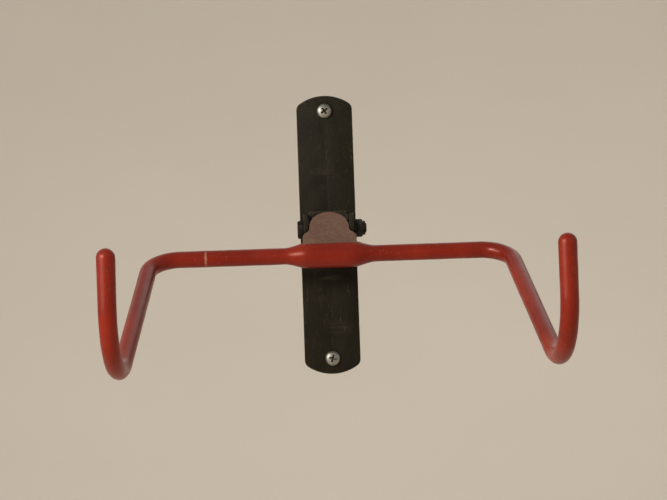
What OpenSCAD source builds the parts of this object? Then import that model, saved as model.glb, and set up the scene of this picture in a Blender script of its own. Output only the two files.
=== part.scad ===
// Folding wall rack for one bicycle.
// A steel wall plate carries a two-eared clevis. A tab hinged between the ears holds a bent rod
// with two J hooks, which swings up against the wall when no bicycle hangs on it.
// X runs to the right, -Y out of the wall and Z up. The origin is the centre of the plate's back.

/* [Wall plate] */
// Height of the wall plate
plate_h = 180; // [174:1:240]
// Width of the wall plate
plate_w = 36; // [34:1:44]
// Thickness of the wall plate
plate_t = 3; // [2:0.5:4]
// Radius of the domed ends
plate_end_r = 28; // [24:1:40]
// Radius where a domed end meets a side
plate_corner_r = 5; // [2:0.5:8]
// Distance between the two fixing screws
screw_gap = 160; // [140:1:164]
// Diameter of the fixing holes
fixing_hole_d = 5.6; // [5.4:0.1:6.5]

/* [Fixing screws] */
// Outer diameter of the screw thread
screw_d = 5; // [4.5:0.1:5]
// Length of the screw under its head
screw_l = 45; // [30:1:80]
// Diameter of the pan head
screw_head_d = 10; // [8:0.1:10]
// Height of the pan head
screw_head_h = 3.2; // [2.5:0.1:4]

/* [Hinge] */
// Distance of the hinge axis from the wall
hinge_out = 20; // [20:0.5:24]
// Height of the hinge axis above the plate's centre
hinge_up = 3; // [0:0.5:6]
// Gap between the two ears of the clevis
ear_gap = 26; // [26:0.5:28]
// Thickness of the clevis
ear_t = 3; // [2.5:0.5:3]
// Radius of the ears round the hinge axis
ear_r = 10; // [9:0.25:10]
// Diameter of the hinge bolt
bolt_d = 6; // [6:0.1:6.1]
// Length of the hinge bolt under its head
bolt_l = 40; // [40:0.5:44]
// Outer diameter of the hinge barrel
barrel_d = 12; // [11:0.5:12]
// Thickness of the thrust washers at the ends of the barrel
thrust_t = 0.8; // [0.5:0.1:1]

/* [Tab] */
// Thickness of the tab
tab_t = 3; // [3:0.1:3.2]
// Width of the tab where it wraps the rod
tab_w = 34; // [34:0.5:36]
// Angle by which the tab leans back towards the wall
tab_lean = 38; // [37:0.5:39]
// Distance along the tab from the rod to the hinge axis
tab_reach = 22.6; // [22.4:0.1:23]
// Length of the tab above the rod's axis
tab_h = 29.5; // [29:0.5:30]

/* [Hook rod] */
// Diameter of the steel rod
rod_d = 9; // [8:0.5:9]
// Thickness of the plastic coat
coat_t = 0.8; // [0.4:0.1:0.9]
// Distance between the two corners of the rod
bar_w = 226; // [200:1:260]
// Bend radius at the corners
corner_bend_r = 20; // [14:1:24]
// Slope of the arms below the horizontal
arm_drop = 26; // [22:1:30]
// Angle by which each arm splays outwards
arm_splay = 4.6; // [0:0.1:8]
// Length of an arm from its corner to its hook
arm_l = 140; // [120:1:160]
// Bend radius of the hooks
hook_bend_r = 35; // [30:1:40]
// Straight length at the end of a hook
hook_leg_l = 28; // [20:1:40]

/* [Hidden] */
$fn = 96;
eps = 0.01;

// Clearances between pieces
running_gap = 0.05;
bond_gap = 0.02;
stop_gap = 0.3;
side_gap = 0.4;

// Fixing screws
neck_d = screw_d - 0.2;
screw_tip_l = 6;
screw_tip_d = 0.6;
head_edge = 0.2;
recess_w = 5.6;
recess_slot = 1.1;
recess_depth = 2;

// Hinge
hinge_y = -hinge_out;
hinge_z = hinge_up;
ear_out = ear_gap / 2 + ear_t;
ear_hole_d = bolt_d + 0.3;
ear_plumb = 0.6;
clevis_bend_r = 1.5;
clevis_foot_z = hinge_z - 15;
clevis_top_z = hinge_z + ear_r;
hex_across = 10;
hex_flat_edge = 0.2;
bolt_head_h = 4;
washer_d = 12;
washer_t = 1.2;
washer_bore = bolt_d + 0.4;
nut_h = 6;
nut_hex_h = 4.4;
nut_collar_d = 9;
insert_d = 7.6;
insert_h = 1.1;
insert_sunk = 0.1;
thrust_d = 12;
barrel_l = ear_gap - 2 * thrust_t - 4 * running_gap;
weld_leg = 2.5;
weld_toe = 1;
barrel_bead_l = barrel_l - 4;

// Tab: its inner face touches the barrel, and its lower end wraps the rod as an open eye
eye_in_r = rod_d / 2 + bond_gap;
eye_out_r = eye_in_r + tab_t;
eye_mouth = 70;
tab_neck_w = ear_gap - 2 * side_gap;
flare_z = 11;
shoulder_z = 14;
dome_r = tab_neck_w / 2;

// The rod's axis lies where the tab puts it
bar_y = hinge_y - (eye_in_r - barrel_d / 2) * -cos(tab_lean) - tab_reach * sin(tab_lean);
bar_z = hinge_z - (eye_in_r - barrel_d / 2) * sin(tab_lean) - tab_reach * cos(tab_lean);

// Rod
coat_d = rod_d + 2 * coat_t;
arm_heading = -90 + arm_splay;
corner_tilt = atan(tan(arm_drop) / cos(arm_splay));
corner_turn = acos(sin(arm_splay) * cos(arm_drop));
corner_tangent = corner_bend_r * tan(corner_turn / 2);
seat_l = tab_w + 2 * coat_t;
seat_taper_l = 12;
lap = 0.2;
bend_thinning = 0.1;

// A point given in the tab's own plane: out from its back, and up along it from the rod's axis
function tab_point(out, up) = [
    bar_y - out * cos(tab_lean) + up * sin(tab_lean),
    bar_z + out * sin(tab_lean) + up * cos(tab_lean)
];

// Extrudes an XZ outline from y = -depth to y = 0
module upright(depth) {
    rotate([90, 0, 0]) linear_extrude(depth) children();
}

// Extrudes a YZ outline from x = from to x = from + width
module sideways(from, width) {
    translate([from, 0, 0]) rotate([90, 0, 90]) linear_extrude(width) children();
}

// Cylinder along +X
module along_x(d, l) {
    rotate([0, 90, 0]) cylinder(d = d, h = l);
}

module both_sides() {
    children();
    mirror([1, 0, 0]) children();
}

module at_hinge() {
    translate([0, hinge_y, hinge_z]) children();
}

// Frame of the tab: Z runs up along it and -Y out of its face, from the rod's axis
module tab_frame() {
    translate([0, bar_y, bar_z]) rotate([-tab_lean, 0, 0]) children();
}

module at_screws() {
    for (z = [-screw_gap / 2, screw_gap / 2]) translate([0, 0, z]) children();
}

module hex_prism(across, h) {
    cylinder(r = across / 2 / cos(30), h = h, $fn = 6);
}

// Trims the corners of a hexagon's outer face at 30 degrees
module hex_chamfer(across, h) {
    corner_r = across / 2 / cos(30);
    drop = (corner_r - across / 2 + hex_flat_edge) * tan(30);
    rotate_extrude() polygon([
        [0, -eps], [corner_r + eps, -eps], [corner_r + eps, h - drop],
        [across / 2 - hex_flat_edge, h], [0, h]
    ]);
}

// Upper half of the plate's outline: straight sides, rounded corners and a domed end
module plate_end() {
    arc_z = plate_h / 2 - plate_end_r;
    corner_x = plate_w / 2 - plate_corner_r;
    corner_z = arc_z + sqrt(pow(plate_end_r - plate_corner_r, 2) - pow(corner_x, 2));
    reach = 2 * plate_end_r / (corner_z - arc_z);
    translate([-plate_w / 2, 0]) square([plate_w, corner_z]);
    for (x = [-corner_x, corner_x]) translate([x, corner_z]) circle(plate_corner_r);
    intersection() {
        translate([0, arc_z]) circle(plate_end_r);
        translate([0, arc_z]) polygon([
            [0, 0], [corner_x * reach, (corner_z - arc_z) * reach],
            [-corner_x * reach, (corner_z - arc_z) * reach]
        ]);
    }
}

module wall_plate() {
    color("#28231a") difference() {
        upright(plate_t) union() {
            plate_end();
            mirror([0, 1]) plate_end();
        }
        at_screws() translate([0, eps, 0]) rotate([90, 0, 0])
            cylinder(d = fixing_hole_d, h = plate_t + 2 * eps);
    }
}

// Pan-head wood screw with a cross recess. Its neck fills the plate's hole and its thread the wall.
module fixing_screw() {
    thread_l = screw_l - plate_t - screw_tip_l;
    head_dome_r = (pow(screw_head_d / 2, 2) + pow(screw_head_h, 2)) / (2 * screw_head_h);
    rotate([-90, 0, 0]) translate([0, 0, -plate_t]) {
        cylinder(d = neck_d, h = plate_t);
        translate([0, 0, plate_t]) cylinder(d = screw_d, h = thread_l);
        translate([0, 0, plate_t + thread_l]) cylinder(d1 = screw_d, d2 = screw_tip_d, h = screw_tip_l);
        difference() {
            intersection() {
                translate([0, 0, head_dome_r - screw_head_h]) sphere(head_dome_r);
                translate([0, 0, -screw_head_h]) cylinder(r = screw_head_d / 2 - head_edge, h = screw_head_h);
            }
            for (turn = [45, 135]) rotate([0, 0, turn])
                translate([-recess_w / 2, -recess_slot / 2, -screw_head_h - eps])
                    cube([recess_w, recess_slot, recess_depth]);
        }
    }
}

module fixing_screws() {
    color("#9b9a96") at_screws() fixing_screw();
}

// Side outline of an ear. The chin under the nose is the stop that the tab's wide part bears on.
module ear_outline() {
    translate([hinge_y, hinge_z]) circle(ear_r);
    polygon([
        [-plate_t, clevis_top_z], [hinge_y, clevis_top_z], [hinge_y, hinge_z],
        tab_point(eye_in_r - stop_gap, shoulder_z + ear_plumb),
        tab_point(eye_in_r - stop_gap, flare_z - ear_plumb),
        [-plate_t, clevis_foot_z]
    ]);
}

// Plan of the clevis: a U with rounded bends, open away from the wall
module clevis_plan() {
    bend_out_r = clevis_bend_r + ear_t;
    ear_l = hinge_out + ear_r + eps;
    difference() {
        union() {
            translate([-ear_out, -ear_l]) square([2 * ear_out, ear_l - plate_t - bend_out_r]);
            translate([-ear_out + bend_out_r, -ear_l])
                square([2 * (ear_out - bend_out_r), ear_l - plate_t]);
            for (x = [-1, 1]) translate([x * (ear_out - bend_out_r), -plate_t - bend_out_r])
                circle(bend_out_r);
        }
        translate([-ear_gap / 2, -ear_l - eps])
            square([ear_gap, ear_l + eps - plate_t - bend_out_r]);
        translate([-ear_gap / 2 + clevis_bend_r, -ear_l - eps])
            square([ear_gap - 2 * clevis_bend_r, ear_l + eps - plate_t - ear_t]);
        for (x = [-1, 1]) translate([x * (ear_gap / 2 - clevis_bend_r), -plate_t - bend_out_r])
            circle(clevis_bend_r);
    }
}

module hinge_clevis() {
    color("#231f17") difference() {
        intersection() {
            sideways(-ear_out - eps, 2 * (ear_out + eps)) ear_outline();
            translate([0, 0, clevis_foot_z - eps])
                linear_extrude(clevis_top_z - clevis_foot_z + 2 * eps) clevis_plan();
        }
        at_hinge() translate([-ear_out - eps, 0, 0]) along_x(ear_hole_d, 2 * (ear_out + eps));
    }
}

// Quarter-round bead that fills the corner over the clevis's base, with round ends
module clevis_weld() {
    bead_l = 2 * (ear_out - clevis_bend_r - ear_t);
    translate([0, -plate_t, 0]) intersection() {
        union() {
            translate([-bead_l / 2, 0, 0]) along_x(2 * weld_leg, bead_l);
            for (x = [-1, 1]) translate([x * bead_l / 2, 0, 0]) sphere(weld_leg);
        }
        translate([-bead_l, -2 * weld_leg, 0]) cube([2 * bead_l, 2 * weld_leg, 2 * weld_leg]);
    }
}

module clevis_welds() {
    color("#2e2a22") {
        translate([0, 0, clevis_top_z]) clevis_weld();
        translate([0, 0, clevis_foot_z]) mirror([0, 0, 1]) clevis_weld();
    }
}

// Hexagon-head bolt, with its head on the left ear
module hinge_bolt() {
    color("#1d1b18") at_hinge() translate([-ear_out, 0, 0]) {
        along_x(bolt_d, bolt_l);
        rotate([0, -90, 0]) intersection() {
            hex_prism(hex_across, bolt_head_h);
            hex_chamfer(hex_across, bolt_head_h);
        }
    }
}

module bolt_washer() {
    color("#24211c") at_hinge() translate([ear_out, 0, 0]) difference() {
        along_x(washer_d, washer_t);
        translate([-eps, 0, 0]) along_x(washer_bore, washer_t + 2 * eps);
    }
}

// Lock nut: a hexagon with a round collar that holds the nylon insert
module lock_nut() {
    color("#24211c") at_hinge() translate([ear_out + washer_t, 0, 0]) difference() {
        union() {
            rotate([0, 90, 0]) intersection() {
                hex_prism(hex_across, nut_hex_h);
                hex_chamfer(hex_across, nut_hex_h);
            }
            along_x(nut_collar_d, nut_h);
        }
        translate([-eps, 0, 0]) along_x(bolt_d + 2 * bond_gap, nut_h + 2 * eps);
        translate([nut_h - insert_h, 0, 0]) along_x(insert_d, insert_h + eps);
    }
}

module nut_insert() {
    color("#d8d5c8") at_hinge() translate([ear_out + washer_t + nut_h - insert_h, 0, 0])
        difference() {
            along_x(insert_d - 2 * bond_gap, insert_h - insert_sunk);
            translate([-eps, 0, 0]) along_x(bolt_d + 2 * bond_gap, insert_h);
        }
}

module thrust_washers() {
    color("#35332f") at_hinge() both_sides()
        translate([barrel_l / 2 + running_gap, 0, 0]) difference() {
            along_x(thrust_d, thrust_t);
            translate([-eps, 0, 0]) along_x(bolt_d + 2 * running_gap, thrust_t + 2 * eps);
        }
}

module hinge_barrel() {
    color("#6b4436") at_hinge() translate([-barrel_l / 2, 0, 0]) difference() {
        along_x(barrel_d, barrel_l);
        translate([-eps, 0, 0]) along_x(bolt_d + 2 * running_gap, barrel_l + 2 * eps);
    }
}

// Fillets in the two grooves between the barrel and the tab's back
module barrel_welds() {
    bead_from = sqrt(pow(barrel_d / 2, 2) - pow(barrel_d / 2 - weld_leg, 2));
    color("#5f3a2e") tab_frame() for (side = [-1, 1])
        translate([-barrel_bead_l / 2, -eye_in_r, tab_reach]) rotate([90, 0, 90])
            linear_extrude(barrel_bead_l) difference() {
                polygon([
                    [0, side * weld_toe], [weld_leg, side * bead_from],
                    [0, side * (bead_from + weld_toe)]
                ]);
                translate([barrel_d / 2, 0]) circle(d = barrel_d);
            }
}

// Front outline of the flat part of the tab: wide at the rod, a neck between the ears, a domed top
module tab_outline() {
    polygon([
        [-tab_w / 2, 0], [tab_w / 2, 0], [tab_w / 2, flare_z], [tab_neck_w / 2, shoulder_z],
        [tab_neck_w / 2, tab_h - dome_r], [-tab_neck_w / 2, tab_h - dome_r],
        [-tab_neck_w / 2, shoulder_z], [-tab_w / 2, flare_z]
    ]);
    translate([0, tab_h - dome_r]) circle(dome_r);
}

// Side section of the tab: the flat part, and the eye that its lower end is rolled into
module tab_section() {
    translate([-eye_out_r, 0]) square([tab_t, tab_h]);
    difference() {
        circle(eye_out_r);
        circle(eye_in_r);
        polygon([
            [0, 0], [-2 * eye_out_r, 0], [-2 * eye_out_r, 2 * eye_out_r],
            [-2 * eye_out_r * cos(eye_mouth), 2 * eye_out_r * sin(eye_mouth)]
        ]);
    }
}

module hinge_tab() {
    color("#7a5040") tab_frame() intersection() {
        sideways(-tab_w / 2, tab_w) tab_section();
        translate([0, 2 * eye_out_r, 0]) upright(4 * eye_out_r) union() {
            tab_outline();
            translate([-tab_w, -2 * eye_out_r]) square([2 * tab_w, 2 * eye_out_r + flare_z / 2]);
        }
    }
}

// Straight stretch of rod along +X, from start to finish, that laps into the bends it meets
module rod_straight(d, start, finish) {
    translate([start - lap, 0, 0]) along_x(d, finish - start + 2 * lap);
}

// Bend that starts at the origin along +X and turns towards +Y. Bending thins the rod a hair.
module rod_bend(d, bend_r, turn) {
    translate([0, bend_r, 0]) rotate([0, 0, -90])
        rotate_extrude(angle = turn) translate([bend_r, 0]) circle(d = d - bend_thinning);
}

// Right arm with its corner and its hook
module rod_arm(d) {
    rotate([corner_tilt, 0, 0]) translate([bar_w / 2 - corner_tangent, 0, 0])
        mirror([0, 1, 0]) rod_bend(d, corner_bend_r, corner_turn);
    translate([bar_w / 2, 0, 0]) rotate([0, 0, arm_heading]) rotate([90, 0, 0])
        rotate([0, 0, -arm_drop]) {
            rod_straight(d, corner_tangent, arm_l);
            translate([arm_l, 0, 0]) rod_bend(d, hook_bend_r, 90 + arm_drop);
            translate([arm_l, hook_bend_r, 0]) rotate([0, 0, 90 + arm_drop])
                translate([0, -hook_bend_r, 0]) {
                    rod_straight(d, 0, hook_leg_l - lap);
                    translate([hook_leg_l, 0, 0]) sphere(d = d);
                }
        }
}

// The rod's whole route at a given diameter
module rod_route(d) {
    half_bar = bar_w / 2 - corner_tangent;
    translate([0, bar_y, bar_z]) {
        rod_straight(d, -half_bar, half_bar);
        both_sides() rod_arm(d);
    }
}

module hook_rod() {
    color("#8a8782") rod_route(rod_d);
}

// Coat over the tab's eye: a drum that tapers down to the rod at both ends
module seat_drum() {
    drum_r = eye_out_r + coat_t;
    translate([0, bar_y, bar_z]) rotate([0, 90, 0]) rotate_extrude() polygon([
        [0, -seat_l / 2 - seat_taper_l], [coat_d / 2, -seat_l / 2 - seat_taper_l],
        [drum_r, -seat_l / 2], [drum_r, seat_l / 2],
        [coat_d / 2, seat_l / 2 + seat_taper_l], [0, seat_l / 2 + seat_taper_l]
    ]);
}

module rod_coat() {
    color("#8e332a") difference() {
        union() {
            rod_route(coat_d);
            seat_drum();
        }
        rod_route(rod_d + 2 * bond_gap);
        hinge_tab();
    }
}

wall_plate();
fixing_screws();
hinge_clevis();
clevis_welds();
hinge_bolt();
bolt_washer();
lock_nut();
nut_insert();
thrust_washers();
hinge_barrel();
barrel_welds();
hinge_tab();
hook_rod();
rod_coat();
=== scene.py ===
"""Looks of the folding bicycle wall rack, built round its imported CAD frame.

Lengths are in metres and angles in radians unless a comment or math.radians says otherwise.
"""
import math

import bmesh
import bpy
from mathutils import Euler, Matrix, Vector, noise


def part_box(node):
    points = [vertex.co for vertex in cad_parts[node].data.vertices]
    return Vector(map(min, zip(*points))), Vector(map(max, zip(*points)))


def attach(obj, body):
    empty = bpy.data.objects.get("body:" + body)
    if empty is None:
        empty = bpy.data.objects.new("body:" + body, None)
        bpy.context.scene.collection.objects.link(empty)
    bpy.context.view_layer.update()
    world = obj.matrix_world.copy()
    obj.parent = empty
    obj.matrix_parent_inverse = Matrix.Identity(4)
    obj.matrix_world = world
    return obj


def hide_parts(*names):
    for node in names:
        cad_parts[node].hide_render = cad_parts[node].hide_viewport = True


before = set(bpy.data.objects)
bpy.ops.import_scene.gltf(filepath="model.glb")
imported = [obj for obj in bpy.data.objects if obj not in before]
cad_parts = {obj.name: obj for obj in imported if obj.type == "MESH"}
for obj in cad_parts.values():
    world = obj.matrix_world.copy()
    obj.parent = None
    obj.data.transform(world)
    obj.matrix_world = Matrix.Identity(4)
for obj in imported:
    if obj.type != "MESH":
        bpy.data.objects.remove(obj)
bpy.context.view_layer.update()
BRACKET, HOOKS = "wall_bracket", "hook_frame"

# Route of the rod, as the CAD source has it
COAT_R = 0.0053
BAR_W = 0.226
CORNER_R = 0.020
ARM_DROP = math.radians(26)
ARM_SPLAY = math.radians(4.6)
ARM_L = 0.140
HOOK_R = 0.035
LEG_L = 0.028
ROUTE_STEP = 0.0014
CORNER_STEPS = 20
HOOK_STEPS = 48

# Hinge and tab
HINGE = Vector((0, -0.020, 0.003))
TAB_LEAN = math.radians(38)
TAB_REACH = 0.0226
EYE_IN_R = 0.00452
EYE_OUT_R = 0.00752
EYE_HALF = 0.0178
COAT_T = 0.0008
BARREL_R = 0.006
BOLT_R = 0.003
EAR_OUT = 0.016
CLEVIS_TOP = 0.013
CLEVIS_FOOT = -0.012
PLATE_T = 0.003

# Fixing screws
SCREW_Z = 0.080
SCREW_R = 0.0025
SCREW_L = 0.045
SCREW_HEAD_R = 0.0048
SCREW_HEAD_H = 0.0032
SCREW_THREAD_FROM = 0.007

# Where a bicycle's tube has rested on each hook: middle of the flat and middle of the rubbed patch
REST_X, REST_Y, REST_Z = 0.12432, -0.17580, -0.07881
RUB_X, RUB_Y, RUB_Z = 0.1243, -0.1745, -0.0735

# Edges sharper than this many degrees are rounded on a copied CAD node
SHARP_DEG = 32

# Middle of the bar, from the hinge down the leaning tab
BAR = Vector((
    0,
    HINGE.y + (EYE_IN_R - BARREL_R) * math.cos(TAB_LEAN) - TAB_REACH * math.sin(TAB_LEAN),
    HINGE.z - (EYE_IN_R - BARREL_R) * math.sin(TAB_LEAN) - TAB_REACH * math.cos(TAB_LEAN),
))


# ---------------------------------------------------------------- meshes

def new_object(name, mesh):
    obj = bpy.data.objects.new(name, mesh)
    bpy.context.scene.collection.objects.link(obj)
    return obj


def mesh_of(bm, name):
    bmesh.ops.recalc_face_normals(bm, faces=bm.faces)
    mesh = bpy.data.meshes.new(name)
    bm.to_mesh(mesh)
    bm.free()
    mesh.polygons.foreach_set("use_smooth", [True] * len(mesh.polygons))
    return mesh


def joined(name, meshes):
    """One object from several meshes."""
    bm = bmesh.new()
    for mesh in meshes:
        bm.from_mesh(mesh)
        bpy.data.meshes.remove(mesh)
    return new_object(name, mesh_of(bm, name))


def ring_mesh(name, rings, closed=False):
    """Skin over rings of points. A ring of one point closes an end; closed joins last to first."""
    bm = bmesh.new()
    loops = [[bm.verts.new(p) for p in ring] for ring in rings]
    pairs = list(zip(loops, loops[1:]))
    if closed:
        pairs.append((loops[-1], loops[0]))
    for a, b in pairs:
        count = max(len(a), len(b))
        for i in range(count):
            corners = [a[i % len(a)], a[(i + 1) % len(a)], b[(i + 1) % len(b)], b[i % len(b)]]
            corners = list(dict.fromkeys(corners))
            if len(corners) > 2:
                bm.faces.new(corners)
    return mesh_of(bm, name)


def lathe(name, profile, sides=48, matrix=Matrix.Identity(4), closed=False):
    """Turns (radius, height) points about Z. A radius of 0 is a pole."""
    rings = []
    for r, z in profile:
        count = 1 if r == 0 else sides
        turns = [2 * math.pi * i / sides for i in range(count)]
        rings.append([matrix @ Vector((r * math.cos(t), r * math.sin(t), z)) for t in turns])
    return ring_mesh(name, rings, closed)


def tube(name, path, radius, sides, matrix=Matrix.Identity(4)):
    """Sweeps a circle along a path with round ends. radius(i, turn) is its radius at point i."""
    tangents = []
    for i in range(len(path)):
        ahead, behind = path[min(i + 1, len(path) - 1)], path[max(i - 1, 0)]
        tangents.append((ahead - behind).normalized())
    side = tangents[0].orthogonal().normalized()
    frames = []
    for i, tangent in enumerate(tangents):
        if i:
            side = tangents[i - 1].rotation_difference(tangent) @ side
        side = (side - tangent * side.dot(tangent)).normalized()
        frames.append((path[i], tangent, side, tangent.cross(side)))

    def ring(i, shrink, ahead):
        centre, tangent, u, v = frames[i]
        points = []
        for k in range(sides):
            turn = 2 * math.pi * k / sides
            r = radius(i, turn)
            out = u * math.cos(turn) + v * math.sin(turn)
            points.append(matrix @ (centre + tangent * ahead * r + out * r * shrink))
        return points

    last = len(path) - 1
    cap_angles = [math.radians(a) for a in (80, 68, 55, 42, 30, 20, 10)]
    rings = [[matrix @ (path[0] - tangents[0] * radius(0, 0))]]
    rings += [ring(0, math.cos(a), -math.sin(a)) for a in cap_angles]
    rings += [ring(i, 1, 0) for i in range(last + 1)]
    rings += [ring(last, math.cos(a), math.sin(a)) for a in reversed(cap_angles)]
    rings += [[matrix @ (path[last] + tangents[last] * radius(last, 0))]]
    return ring_mesh(name, rings)


def cad_copy(node, name, bevel, segments=3):
    """A CAD node's own shape with its flat faces merged and its sharp edges rounded."""
    bm = bmesh.new()
    bm.from_mesh(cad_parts[node].data)
    bmesh.ops.remove_doubles(bm, verts=bm.verts, dist=1e-6)
    bmesh.ops.dissolve_limit(
        bm, angle_limit=math.radians(0.5), verts=bm.verts, edges=bm.edges,
        use_dissolve_boundaries=False
    )
    obj = new_object(name, mesh_of(bm, name))
    modifier = obj.modifiers.new("rounding", "BEVEL")
    modifier.width = bevel
    modifier.segments = segments
    modifier.limit_method = "ANGLE"
    modifier.angle_limit = math.radians(SHARP_DEG)
    modifier.harden_normals = True
    return obj


def smooth_step(low, high, x):
    t = min(1.0, max(0.0, (x - low) / (high - low)))
    return t * t * (3 - 2 * t)


def uneven(point, size, amount, seed):
    """Slow unevenness of a hand-made surface."""
    return amount * noise.noise(point / size + Vector((seed, seed * 1.7, seed * 0.6)))


# ---------------------------------------------------------------- hook frame

def right_arm_route():
    """Centreline of the rod's right half, from the middle of the bar to the tip of the hook."""
    tilt = math.atan(math.tan(ARM_DROP) / math.cos(ARM_SPLAY))
    turn = math.acos(math.sin(ARM_SPLAY) * math.cos(ARM_DROP))
    tangent = CORNER_R * math.tan(turn / 2)
    flat_end = BAR_W / 2 - tangent
    count = round(flat_end / ROUTE_STEP)
    points = [BAR + Vector((flat_end * i / count, 0, 0)) for i in range(count)]
    for i in range(CORNER_STEPS + 1):
        a = turn * i / CORNER_STEPS
        out = CORNER_R * (1 - math.cos(a))
        points.append(BAR + Vector((
            flat_end + CORNER_R * math.sin(a), -out * math.cos(tilt), -out * math.sin(tilt)
        )))
    heading = Vector((math.sin(ARM_SPLAY), -math.cos(ARM_SPLAY), 0))
    along = heading * math.cos(ARM_DROP) - Vector((0, 0, math.sin(ARM_DROP)))
    up = heading * math.sin(ARM_DROP) + Vector((0, 0, math.cos(ARM_DROP)))
    corner = BAR + Vector((BAR_W / 2, 0, 0))
    count = round((ARM_L - tangent) / ROUTE_STEP)
    points += [corner + along * (tangent + (ARM_L - tangent) * i / count) for i in range(1, count)]
    hook_turn = math.pi / 2 + ARM_DROP
    for i in range(HOOK_STEPS + 1):
        a = hook_turn * i / HOOK_STEPS
        points.append(
            corner + along * (ARM_L + HOOK_R * math.sin(a)) + up * (HOOK_R * (1 - math.cos(a)))
        )
    count = round(LEG_L / ROUTE_STEP)
    foot = points[-1]
    points += [foot + Vector((0, 0, LEG_L * i / count)) for i in range(1, count + 1)]
    return points


def rod_route():
    right = right_arm_route()
    left = [Vector((-p.x, p.y, p.z)) for p in reversed(right)]
    return left + right[1:]


def rod_coat():
    """Uneven dip coat, swollen over the tab's eye and at the tips, pressed where a tube rests."""
    path = rod_route()
    rest_points = [Vector((side * REST_X, REST_Y, REST_Z)) for side in (-1, 1)]
    thin, tip_swell, pressed = 0.00006, 0.00012, 0.00012

    def radius(i, turn):
        p = path[i]
        r = COAT_R - thin
        r += uneven(p, 0.013, 0.00010, 3.0)
        around = p + Vector((math.cos(turn), math.sin(turn), 0)) * 0.006
        r += uneven(around, 0.006, 0.00005, 9.0)
        if p.y > BAR.y - 0.001:
            seat = 1 - smooth_step(EYE_HALF - 0.004, EYE_HALF + 0.011, abs(p.x))
            r += (EYE_OUT_R + COAT_T - COAT_R) * seat
        steps_from_tip = min(i, len(path) - 1 - i)
        r += tip_swell * (1 - smooth_step(2, 7, steps_from_tip))
        away = min((p - rest).length for rest in rest_points)
        r -= pressed * (1 - smooth_step(0.004, 0.016, away))
        return r

    obj = new_object("rod_dip_coat", tube("rod_dip_coat", path, radius, sides=40))
    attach(obj, HOOKS)
    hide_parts("rod_coat")
    return obj


def tab_matrix():
    return Matrix.Translation(BAR) @ Euler((-TAB_LEAN, 0, 0)).to_matrix().to_4x4()


def tab():
    """The stamped tab, with its outline's corners and then all its edges rounded."""
    corner_r, corner_segments = 0.0020, 6
    obj = cad_copy("hinge_tab", "stamped_tab", 0.0007, 4)
    bm = bmesh.new()
    bm.from_mesh(obj.data)
    through = tab_matrix().to_3x3() @ Vector((0, 1, 0))
    thickness = EYE_OUT_R - EYE_IN_R
    corners = []
    for edge in bm.edges:
        run = edge.verts[1].co - edge.verts[0].co
        across = abs(run.normalized().dot(through)) > 0.999
        across = across and abs(run.length - thickness) < 0.0002
        if across and len(edge.link_faces) == 2 and edge.calc_face_angle() > math.radians(20):
            corners.append(edge)
    bmesh.ops.bevel(
        bm, geom=corners, offset=corner_r, segments=corner_segments, profile=0.5, affect="EDGES"
    )
    bm.to_mesh(obj.data)
    bm.free()
    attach(obj, HOOKS)
    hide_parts("hinge_tab")
    return obj


def barrel():
    """Tube with a clean bore, turned on the bolt, with its rims chamfered."""
    low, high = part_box("hinge_barrel")
    half = (high.x - low.x) / 2
    clearance, edge = 0.00005, 0.0004
    bore = BOLT_R + clearance
    profile = [
        (bore, -half + edge), (bore + edge, -half),
        (BARREL_R - edge, -half), (BARREL_R, -half + edge),
        (BARREL_R, half - edge), (BARREL_R - edge, half),
        (bore + edge, half), (bore, half - edge),
    ]
    turn = Matrix.Translation(HINGE) @ Euler((0, math.pi / 2, 0)).to_matrix().to_4x4()
    obj = new_object("turned_barrel", lathe("turned_barrel", profile, 64, turn, closed=True))
    obj.modifiers.new("rounding", "BEVEL").width = 0.0001
    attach(obj, HOOKS)
    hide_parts("hinge_barrel")
    return obj


def bead(name, start, end, radius, pitch, seed, matrix=Matrix.Identity(4)):
    """A weld bead: a row of overlapping ripples, uneven in size."""
    length = (end - start).length
    count = round(length / (pitch / 8))
    path = [start.lerp(end, i / count) for i in range(count + 1)]

    def size(i, turn):
        along = length * i / count
        ripple = (along / pitch + 0.22 * math.sin(turn) + 0.1 * math.sin(along * 900 + seed)) % 1.0
        ends = smooth_step(0, pitch * 2, min(along, length - along))
        lump = 1 + uneven(Vector((along, 0, 0)), pitch * 3, 0.12, seed)
        return radius * (0.84 + 0.08 * ends) * lump * (1 - 0.055 * ripple)

    return tube(name, path, size, 20, matrix)


def barrel_welds():
    """Beads along both sides of the barrel, in the tab's own frame."""
    matrix = tab_matrix()
    reach = Vector((0.0098, 0, 0))
    radius, pitch, sunk, apart = 0.0013, 0.0011, 0.0006, 0.0040
    beads = []
    for n, side in enumerate((-1, 1)):
        at = Vector((0, -EYE_IN_R + sunk, TAB_REACH + side * apart))
        beads.append(bead("bead", at - reach, at + reach, radius, pitch, 4.0 + n, matrix))
    obj = joined("barrel_weld_beads", beads)
    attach(obj, HOOKS)
    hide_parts("barrel_welds")
    return obj


# ---------------------------------------------------------------- wall bracket

def rounded_copy(node, name, bevel, segments=3):
    """A wall bracket piece that keeps its CAD shape and gets rounded edges."""
    obj = cad_copy(node, name, bevel, segments)
    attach(obj, BRACKET)
    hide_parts(node)
    return obj


def clevis_welds():
    """Beads along the clevis's upper and lower edges, on the plate."""
    reach = Vector((EAR_OUT - 0.0048, 0, 0))
    radius, pitch, proud = 0.0022, 0.0014, 0.0004
    beads = []
    for n, z in enumerate((CLEVIS_TOP + proud, CLEVIS_FOOT - proud)):
        at = Vector((0, -PLATE_T - proud, z))
        beads.append(bead("bead", at - reach, at + reach, radius, pitch, 7.0 + n))
    obj = joined("clevis_weld_beads", beads)
    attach(obj, BRACKET)
    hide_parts("clevis_welds")
    return obj


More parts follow.
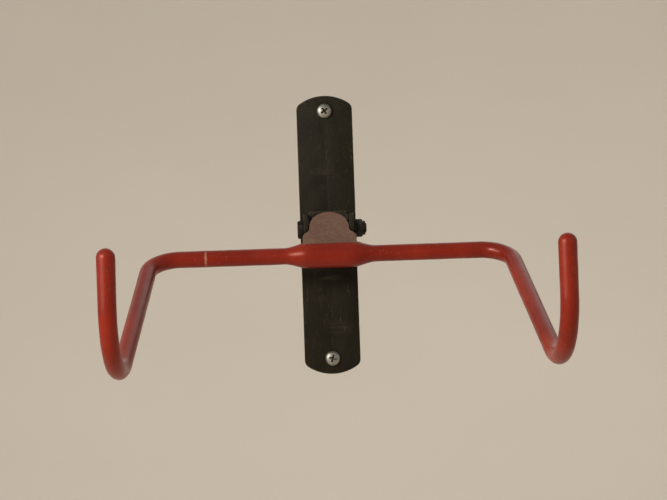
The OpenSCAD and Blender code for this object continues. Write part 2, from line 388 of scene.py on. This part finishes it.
def threaded_shank(low, high, outer, depth, pitch, starts_at, point_l, matrix):
    """A screw's shank along Z, threaded from starts_at on, with a point of length point_l."""
    sides, steps_a_turn, blunt, tip_l = 36, 9, 0.12, 0.0002
    count = round((high - low) / (pitch / steps_a_turn))
    rings = [[matrix @ Vector((0, 0, low))]]
    for i in range(count + 1):
        z = low + (high - low) * i / count
        ring = []
        for k in range(sides):
            turn = k / sides
            phase = ((z - starts_at) / pitch - turn) % 1.0
            crest = max(0.0, 1 - abs(phase - 0.5) * 5)
            cut = depth * (1 - crest) * smooth_step(starts_at, starts_at + pitch, z)
            left = max(0.0, (high - z) / point_l)
            r = (outer - cut) * min(1.0, blunt + (1 - blunt) * left)
            a = 2 * math.pi * turn
            ring.append(matrix @ Vector((r * math.cos(a), r * math.sin(a), z)))
        rings.append(ring)
    rings.append([matrix @ Vector((0, 0, high + tip_l))])
    return ring_mesh("shank", rings)


def recess_cutter(matrix):
    """Closed cross that narrows into the head: wings above, a blunt point below."""
    above, below = -0.0008, 0.0026
    sections = (
        # depth, half length of a wing, half thickness of a wing
        (above, 0.0029, 0.00068),
        (0.0005, 0.0024, 0.00058),
        (0.0017, 0.0013, 0.00042),
        (0.0023, 0.0005, 0.0003),
    )
    rings = []
    for z, wing, web in sections:
        ring = []
        for quarter in range(4):
            spin = Matrix.Rotation(math.pi / 2 * quarter, 4, "Z")
            for x, y in ((wing, -web), (wing, web), (web, web)):
                ring.append(matrix @ spin @ Vector((x, y, z)))
        rings.append(ring)
    top = [matrix @ Vector((0, 0, above))]
    foot = [matrix @ Vector((0, 0, below))]
    return ring_mesh("cutter", [top, *rings, foot])


def fixing_screws():
    """Pan-head screws with a cross recess and a coarse wood thread."""
    parts = []
    rim_h, under, dome_steps = 0.0007, -0.00002, 8
    into_wall = Euler((-math.pi / 2, 0, 0)).to_matrix().to_4x4()
    for n, z in enumerate((-SCREW_Z, SCREW_Z)):
        spin = Matrix.Rotation(math.radians(17 + 38 * n), 4, "Z")
        matrix = Matrix.Translation((0, -PLATE_T, z)) @ into_wall @ spin
        profile = [(0, -SCREW_HEAD_H)]
        for i in range(1, dome_steps + 1):
            a = math.radians(90 * i / dome_steps)
            sink = (SCREW_HEAD_H - rim_h) * (1 - math.cos(a)) ** 1.25
            profile.append((SCREW_HEAD_R * math.sin(a) ** 0.85, -SCREW_HEAD_H + sink))
        profile += [
            (SCREW_HEAD_R, -0.0003), (SCREW_HEAD_R - 0.0002, under), (0.0024, under), (0, under)
        ]
        head = new_object("head", lathe("head", profile, 48, matrix))
        recess = matrix @ Matrix.Translation((0, 0, -SCREW_HEAD_H))
        cutter = new_object("cutter", recess_cutter(recess))
        cut = head.modifiers.new("recess", "BOOLEAN")
        cut.object = cutter
        cut.operation = "DIFFERENCE"
        cut.solver = "EXACT"
        bpy.context.view_layer.update()
        evaluated = head.evaluated_get(bpy.context.evaluated_depsgraph_get())
        parts.append(bpy.data.meshes.new_from_object(evaluated))
        for scratch in (head, cutter):
            bpy.data.objects.remove(scratch)
        parts.append(threaded_shank(
            low=-0.0002, high=SCREW_L, outer=SCREW_R - 0.00004, depth=0.0009, pitch=0.0022,
            starts_at=SCREW_THREAD_FROM, point_l=0.006, matrix=matrix
        ))
    obj = joined("cross_head_screws", parts)
    edge_split(obj, 40)
    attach(obj, BRACKET)
    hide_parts("fixing_screws")
    return obj


def edge_split(obj, angle):
    """Marks edges sharper than an angle, so that smooth shading stops there."""
    bm = bmesh.new()
    bm.from_mesh(obj.data)
    for edge in bm.edges:
        if len(edge.link_faces) == 2 and edge.calc_face_angle() > math.radians(angle):
            edge.smooth = False
    bm.to_mesh(obj.data)
    bm.free()


# ---------------------------------------------------------------- materials

class Graph:
    """A material's node graph, with one short method for each kind of step."""

    def __init__(self, name):
        self.material = bpy.data.materials.new(name)
        self.material.use_nodes = True
        self.tree = self.material.node_tree
        self.tree.nodes.clear()
        place = self.tree.nodes.new("ShaderNodeTexCoord")
        self.place, self.normal = place.outputs["Object"], place.outputs["Normal"]

    def node(self, kind, inputs, **settings):
        made = self.tree.nodes.new(kind)
        for key, value in settings.items():
            setattr(made, key, value)
        for key, value in inputs.items():
            socket = made.inputs[key]
            if isinstance(value, bpy.types.NodeSocket):
                self.tree.links.new(value, socket)
            else:
                socket.default_value = value
        return made

    def noise(self, scale, detail=3.0, roughness=0.55, distortion=0.0, stretch=None):
        vector = self.place
        if stretch:
            vector = self.vector_math("MULTIPLY", vector, stretch)
        inputs = {
            "Vector": vector, "Scale": scale, "Detail": detail,
            "Roughness": roughness, "Distortion": distortion,
        }
        return self.node("ShaderNodeTexNoise", inputs).outputs["Fac"]

    def span(self, value, low, high, to_low=0.0, to_high=1.0):
        """Smooth step of a value from low..high to to_low..to_high."""
        inputs = {"Value": value, 1: low, 2: high, 3: to_low, 4: to_high}
        return self.node("ShaderNodeMapRange", inputs, interpolation_type="SMOOTHSTEP").outputs[0]

    def math(self, operation, a, b=0.0, clamp=False):
        made = self.node("ShaderNodeMath", {0: a, 1: b}, operation=operation, use_clamp=clamp)
        return made.outputs[0]

    def vector_math(self, operation, a, b, result=0):
        return self.node("ShaderNodeVectorMath", {0: a, 1: b}, operation=operation).outputs[result]

    def mix(self, factor, a, b):
        inputs = {
            "Factor": factor,
            6: a if isinstance(a, bpy.types.NodeSocket) else (*a, 1.0),
            7: b if isinstance(b, bpy.types.NodeSocket) else (*b, 1.0),
        }
        return self.node("ShaderNodeMix", inputs, data_type="RGBA").outputs[2]

    def part(self, vector, axis):
        return self.node("ShaderNodeSeparateXYZ", {0: vector}).outputs[axis]

    def edges(self, radius, low, high):
        """1 on convex edges that rounding of a radius would change."""
        rounded = self.node("ShaderNodeBevel", {"Radius": radius}, samples=4).outputs[0]
        sharp = self.node("ShaderNodeNewGeometry", {}).outputs["Normal"]
        same = self.vector_math("DOT_PRODUCT", rounded, sharp, "Value")
        return self.span(same, high, low, 0.0, 1.0)

    def crevice(self, reach):
        """1 deep in a corner or recess of the piece itself."""
        made = self.node(
            "ShaderNodeAmbientOcclusion", {"Distance": reach}, samples=8, only_local=True
        )
        return self.span(made.outputs["AO"], 0.35, 0.95, 1.0, 0.0)

    def bump(self, height, distance, strength=1.0, normal=None):
        inputs = {"Height": height, "Distance": distance, "Strength": strength}
        if normal is not None:
            inputs["Normal"] = normal
        return self.node("ShaderNodeBump", inputs).outputs[0]

    def finish(self, color, roughness, normal, **constants):
        """The surface itself. A constant is set on the shader's own socket of that name."""
        inputs = {"Base Color": color, "Roughness": roughness, "Normal": normal}
        shader = self.node("ShaderNodeBsdfPrincipled", inputs)
        for key, value in constants.items():
            socket = key.replace("_", " ").title().replace("Ior", "IOR")
            shader.inputs[socket].default_value = value
        self.node("ShaderNodeOutputMaterial", {"Surface": shader.outputs[0]})
        return self.material


def srgb(r, g, b):
    """Linear colour of an sRGB colour given from 0 to 255."""
    def linear(v):
        v /= 255
        return v / 12.92 if v <= 0.04045 else ((v + 0.055) / 1.055) ** 2.4
    return linear(r), linear(g), linear(b)


def dust(g, amount):
    """Dust that lies on what faces up, in a fine uneven film."""
    up = g.span(g.part(g.normal, "Z"), 0.1, 1.0)
    film = g.span(g.noise(520, 6, 0.7), 0.30, 0.75, 0.35, 1.0)
    return g.math("MULTIPLY", g.math("MULTIPLY", up, film), amount)


def scratches(g, scale, rare, spread, turns):
    """Short straight streaks in patches, along Z turned by each of turns.

    They are the peaks of a noise drawn out along Z: rare is the level that a streak starts at,
    and spread the level that a patch starts at.
    """
    found = None
    for n, turn in enumerate(turns):
        inputs = {0: g.place, 2: Vector(turn), 3: Vector((1, 1, 0.03))}
        place = g.node("ShaderNodeMapping", inputs).outputs[0]
        inputs = {"Vector": place, "Scale": scale * (1 + 0.35 * n), "Detail": 0.0}
        level = g.node("ShaderNodeTexNoise", inputs).outputs["Fac"]
        line = g.span(level, rare, rare + 0.03)
        kept = g.span(g.noise(scale * (0.30 + 0.11 * n), 3, 0.6), spread, spread + 0.05)
        line = g.math("MULTIPLY", line, kept)
        found = line if found is None else g.math("MAXIMUM", found, line)
    return found


def patch(g, centre, size, grain, low, high, stretch=None):
    """A worn patch round a point, as large as size says, with a ragged edge of a grain."""
    away = g.vector_math("DIVIDE", g.vector_math("SUBTRACT", g.place, centre), size)
    away = g.node("ShaderNodeVectorMath", {0: away}, operation="LENGTH").outputs["Value"]
    inside = g.span(away, 0.35, 1.0, 1.0, 0.0)
    return g.math("MULTIPLY", inside, g.span(g.noise(grain, 5, 0.7, stretch=stretch), low, high))


def red_plastic():
    """Satin dip coat: cloudy red, grime, rubbed hook bottoms, fine scratches, a nick and dust."""
    g = Graph("red_dip_coat")
    cloudy = g.noise(30, 3, 0.5)
    mottle = g.noise(260, 5, 0.65)
    fine = g.noise(1400, 2, 0.5)
    color = g.mix(g.span(cloudy, 0.3, 0.7), srgb(112, 22, 9), srgb(132, 32, 15))
    color = g.mix(g.math("MULTIPLY", g.span(mottle, 0.50, 0.72), 0.35), color, srgb(110, 24, 12))
    grime = g.span(g.noise(110, 6, 0.75, 0.4), 0.54, 0.70)
    grime = g.math("MULTIPLY", grime, g.span(mottle, 0.3, 0.6))
    color = g.mix(g.math("MULTIPLY", grime, 0.40), color, srgb(84, 36, 26))
    rub_size = Vector((0.012, 0.030, 0.016))
    rubs = [
        patch(g, Vector((side * RUB_X, RUB_Y, RUB_Z)), rub_size, grain=900, low=0.25, high=0.75)
        for side in (-1, 1)
    ]
    rub = g.math("ADD", *rubs, clamp=True)
    color = g.mix(g.math("MULTIPLY", rub, 0.42), color, srgb(172, 84, 62))
    hair_turns = ((0.5, 0.2, 0), (1.35, 0.9, 0.4), (-0.6, 1.3, 0))
    hair = scratches(g, scale=1100, rare=0.745, spread=0.53, turns=hair_turns)
    color = g.mix(g.math("MULTIPLY", hair, 0.24), color, srgb(180, 96, 74))
    nick_at, nick_size = Vector((-0.0785, BAR.y - 0.004, BAR.z)), Vector((0.0012, 0.005, 0.0075))
    nick = patch(g, nick_at, nick_size, grain=1300, low=0.30, high=0.60)
    color = g.mix(g.math("MULTIPLY", nick, 0.60), color, srgb(190, 140, 116))
    color = g.mix(dust(g, 0.08), color, srgb(166, 120, 92))
    rough = g.span(cloudy, 0.25, 0.75, 0.29, 0.36)
    rough = g.math("ADD", rough, g.math("MULTIPLY", grime, 0.18))
    rough = g.math("SUBTRACT", rough, g.math("MULTIPLY", rub, 0.06))
    bump = g.bump(g.noise(170, 2, 0.4), 0.00016, 0.45)
    bump = g.bump(mottle, 0.00006, 0.35, bump)
    bump = g.bump(fine, 0.00002, 0.5, bump)
    bump = g.bump(g.math("ADD", hair, nick), -0.00008, 0.7, bump)
    return g.finish(
        color, rough, bump, ior=1.49, specular_ior_level=0.5, specular_tint=(1.0, 0.52, 0.42, 1.0)
    )


def painted(name, low, high, chip, dusty, chips, rough_low, rough_high, gloss, worn=()):
    """Sprayed paint: faint orange peel, hairline scratches, chipped edges, dust and worn patches.

    The colour runs from low to high and shows chip where it is worn. dusty and chips are shares,
    and worn lists patches as (centre, size, share).
    """
    g = Graph(name)
    cloudy = g.noise(40, 3, 0.5)
    mottle = g.noise(330, 5, 0.65)
    peel = g.noise(1100, 2, 0.5)
    color = g.mix(g.span(cloudy, 0.3, 0.7), low, high)
    color = g.mix(g.math("MULTIPLY", g.span(mottle, 0.35, 0.65), 0.35), color, low)
    edge = g.edges(0.0014, 0.86, 0.985)
    chipped = g.math("MULTIPLY", edge, g.span(g.noise(640, 5, 0.75), 0.50, 0.60))
    color = g.mix(g.math("MULTIPLY", chipped, chips), color, chip)
    hair_turns = ((0.1, 0.35, 0), (0, 1.45, 0.1), (0.2, -0.7, 0))
    hair = scratches(g, scale=1700, rare=0.755, spread=0.52, turns=hair_turns)
    color = g.mix(g.math("MULTIPLY", hair, 0.22), color, chip)
    film = g.span(g.noise(75, 6, 0.7), 0.46, 0.74)
    color = g.mix(g.math("MULTIPLY", film, dusty * 0.22), color, srgb(150, 132, 112))
    smear = Vector((0.35, 1, 7))
    for centre, size, share in worn:
        mark = patch(g, Vector(centre), Vector(size), 260, 0.40, 0.75, smear)
        color = g.mix(g.math("MULTIPLY", mark, share), color, chip)
    color = g.mix(dust(g, dusty), color, srgb(150, 134, 114))
    dirt = g.math("MULTIPLY", g.crevice(0.004), g.span(mottle, 0.25, 0.65))
    color = g.mix(g.math("MULTIPLY", dirt, 0.40), color, srgb(86, 72, 56))
    rough = g.span(cloudy, 0.25, 0.75, rough_low, rough_high)
    rough = g.math("ADD", rough, g.math("MULTIPLY", film, 0.10))
    rough = g.math("ADD", rough, g.span(mottle, 0.3, 0.7, -0.04, 0.04))
    bump = g.bump(peel, 0.00010, 0.45)
    bump = g.bump(mottle, 0.00005, 0.25, bump)
    bump = g.bump(g.math("ADD", chipped, hair), -0.00006, 0.7, bump)
    return g.finish(color, rough, bump, ior=1.5, specular_ior_level=gloss)


def metal(name, low, high, stain, rough_low, rough_high, metallic=1.0):
    """Plated or bare steel: fine grain, cloudy gloss and stains."""
    g = Graph(name)
    cloudy = g.noise(320, 4, 0.6)
    grain = g.noise(1500, 3, 0.6)
    color = g.mix(g.span(cloudy, 0.3, 0.7), low, high)
    stains = g.span(g.noise(190, 6, 0.7, 0.3), 0.56, 0.70)
    color = g.mix(g.math("MULTIPLY", stains, 0.5), color, stain)
    # Grime and painted shade: dark brown deep in the piece's own hollows, such as the cross
    # recesses
    color = g.mix(g.math("MULTIPLY", g.crevice(0.0025), 0.7), color, srgb(52, 44, 36))
    rough = g.span(cloudy, 0.25, 0.75, rough_low, rough_high)
    rough = g.math("ADD", rough, g.math("MULTIPLY", stains, 0.2))
    bump = g.bump(grain, 0.00003, 0.5)
    return g.finish(color, rough, bump, metallic=metallic)


def nylon(name, low, high):
    """Moulded nylon, faintly cloudy."""
    g = Graph(name)
    cloudy = g.noise(500, 3)
    color = g.mix(cloudy, low, high)
    rough = g.span(cloudy, 0.3, 0.7, 0.42, 0.55)
    return g.finish(color, rough, g.bump(g.noise(1800, 2), 0.00003, 0.4), ior=1.53)


def paint_over(obj, material):
    obj.data.materials.clear()
    obj.data.materials.append(material)


# ---------------------------------------------------------------- stage

def stage():
    """Pale floor that curves up far away, soft lights and a surround that dims upwards."""
    floor_z, flat_r, rim_r, rim_h, rim_steps = -0.42, 1.25, 5.0, 2.2, 30
    profile = [(0, floor_z), (0.4, floor_z), (flat_r, floor_z)]
    for i in range(1, rim_steps + 1):
        t = i / rim_steps
        profile.append((flat_r + (rim_r - flat_r) * t, floor_z + rim_h * t ** 2.3))
    floor = new_object("studio_floor", lathe("studio_floor", profile, 96))
    g = Graph("pale_floor")
    color = g.mix(g.noise(2.0, 3), srgb(230, 219, 203), srgb(236, 225, 209))
    bump = g.bump(g.noise(60, 3), 0.001, 0.1)
    paint_over(floor, g.finish(color, 0.9, bump, specular_ior_level=0.2))

    # Full strength up to a direction of height low_z, dimmed from high_z on
    low_z, high_z, full, dim = 0.15, 0.75, 0.70, 0.26
    world = bpy.data.worlds.new("pale_surround")
    world.use_nodes = True
    nodes, links = world.node_tree.nodes, world.node_tree.links
    direction = nodes.new("ShaderNodeTexCoord")
    height = nodes.new("ShaderNodeSeparateXYZ")
    dimming = nodes.new("ShaderNodeMapRange")
    sockets = ("From Min", "From Max", "To Min", "To Max")
    for socket, value in zip(sockets, (low_z, high_z, full, dim)):
        dimming.inputs[socket].default_value = value
    background = nodes["Background"]
    background.inputs["Color"].default_value = (1.0, 0.975, 0.94, 1.0)
    links.new(direction.outputs["Generated"], height.inputs[0])
    links.new(height.outputs["Z"], dimming.inputs["Value"])
    links.new(dimming.outputs["Result"], background.inputs["Strength"])
    bpy.context.scene.world = world

    rack = Vector((0, -0.12, -0.02))
    lamps = [
        # name, place, target, size, power in watts, spread in degrees, colour
        ("key", Vector((-1.15, -1.50, 0.55)), rack, 0.45, 5.4, 90, (1.0, 0.965, 0.92)),
        ("side", Vector((-1.30, -0.90, 0.40)), rack, 0.80, 5.0, 130, (1.0, 0.97, 0.93)),
        ("fill", Vector((1.7, -1.3, 0.8)), rack, 1.6, 1.5, 180, (0.97, 0.98, 1.0)),
        ("back", Vector((0.4, 1.6, 1.2)), rack, 1.2, 1.6, 130, (1.0, 0.98, 0.95)),
    ]
    # Four lamps that light the rising floor all round and leave the rack alone
    for n in range(4):
        out = Vector((math.cos(math.pi / 2 * n), math.sin(math.pi / 2 * n), 0))
        at, target = out * 1.1 + Vector((0, 0, 1.5)), out * 4.2 + Vector((0, 0, 0.1))
        lamps.append((f"wash_{n}", at, target, 1.2, 14, 150, (1.0, 0.97, 0.93)))
    for name, at, target, size, power, spread, tint in lamps:
        light = bpy.data.lights.new(name, "AREA")
        light.energy, light.size, light.color = power, size, tint
        light.spread = math.radians(spread)
        obj = bpy.data.objects.new(name, light)
        obj.location = at
        obj.rotation_euler = (target - at).to_track_quat("-Z", "Y").to_euler()
        obj.visible_camera = False
        bpy.context.scene.collection.objects.link(obj)


def camera():
    """The photo's view: from in front and a little below, with a long lens and a slight roll."""
    at, aim = Vector((-0.030, -1.386, -0.048)), Vector((0.003, 0, -0.010))
    roll_deg = -2.0
    data = bpy.data.cameras.new("camera")
    data.lens = 115.5
    data.sensor_width = 36
    obj = bpy.data.objects.new("camera", data)
    obj.location = at
    look = (aim - at).to_track_quat("-Z", "Y")
    roll = Matrix.Rotation(math.radians(roll_deg), 3, "Z").to_quaternion()
    obj.rotation_mode = "QUATERNION"
    obj.rotation_quaternion = look @ roll
    bpy.context.scene.collection.objects.link(obj)
    bpy.context.scene.camera = obj


# ---------------------------------------------------------------- the rack

def build():
    """Makes every piece and gives it its material."""
    scuffs = (
        ((-0.003, -PLATE_T, 0.041), (0.010, 0.004, 0.0030), 0.22),
        ((0.001, -PLATE_T, -0.028), (0.010, 0.004, 0.0024), 0.26),
        ((0.004, -PLATE_T, -0.060), (0.012, 0.004, 0.0060), 0.10),
    )
    black = painted(
        "black_paint", srgb(22, 18, 7), srgb(30, 25, 11), srgb(112, 100, 78),
        dusty=0.09, chips=0.45, rough_low=0.44, rough_high=0.54, gloss=0.15, worn=scuffs
    )
    weld = painted(
        "painted_weld", srgb(26, 21, 10), srgb(36, 30, 16), srgb(110, 98, 78),
        dusty=0.14, chips=0.32, rough_low=0.46, rough_high=0.58, gloss=0.18
    )
    faded = painted(
        "faded_red_paint", srgb(82, 49, 37), srgb(93, 58, 45), srgb(122, 104, 90),
        dusty=0.40, chips=0.26, rough_low=0.42, rough_high=0.54, gloss=0.46
    )
    zinc = metal(
        "zinc_plate", srgb(138, 135, 126), srgb(168, 165, 156), srgb(96, 86, 70),
        rough_low=0.40, rough_high=0.54
    )
    steel = metal(
        "bare_steel", srgb(140, 138, 134), srgb(160, 158, 154), srgb(96, 84, 72),
        rough_low=0.35, rough_high=0.5
    )
    oxide = metal(
        "black_fastener", srgb(28, 24, 16), srgb(44, 38, 28), srgb(78, 54, 36),
        rough_low=0.42, rough_high=0.58, metallic=0.7
    )
    paint_over(rounded_copy("wall_plate", "rolled_plate", 0.0006, 4), black)
    paint_over(rounded_copy("hinge_clevis", "pressed_clevis", 0.0005), black)
    paint_over(clevis_welds(), weld)
    for obj in (tab(), barrel(), barrel_welds()):
        paint_over(obj, faded)
    paint_over(rounded_copy("hinge_bolt", "hex_bolt", 0.0003), oxide)
    paint_over(rounded_copy("lock_nut", "hex_lock_nut", 0.0003), oxide)
    paint_over(rod_coat(), red_plastic())
    paint_over(fixing_screws(), zinc)
    paint_over(rounded_copy("bolt_washer", "flat_washer", 0.0002), oxide)
    paint_over(
        rounded_copy("nut_insert", "nylon_insert", 0.0001),
        nylon("white_nylon", srgb(196, 192, 180), srgb(218, 214, 204)),
    )
    paint_over(
        rounded_copy("thrust_washers", "nylon_washers", 0.00015),
        nylon("dark_nylon", srgb(40, 38, 36), srgb(58, 55, 51)),
    )
    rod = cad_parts["hook_rod"]
    for slot in rod.material_slots:
        slot.material = steel


bpy.context.scene.view_settings.view_transform = "Standard"
build()
stage()
camera()
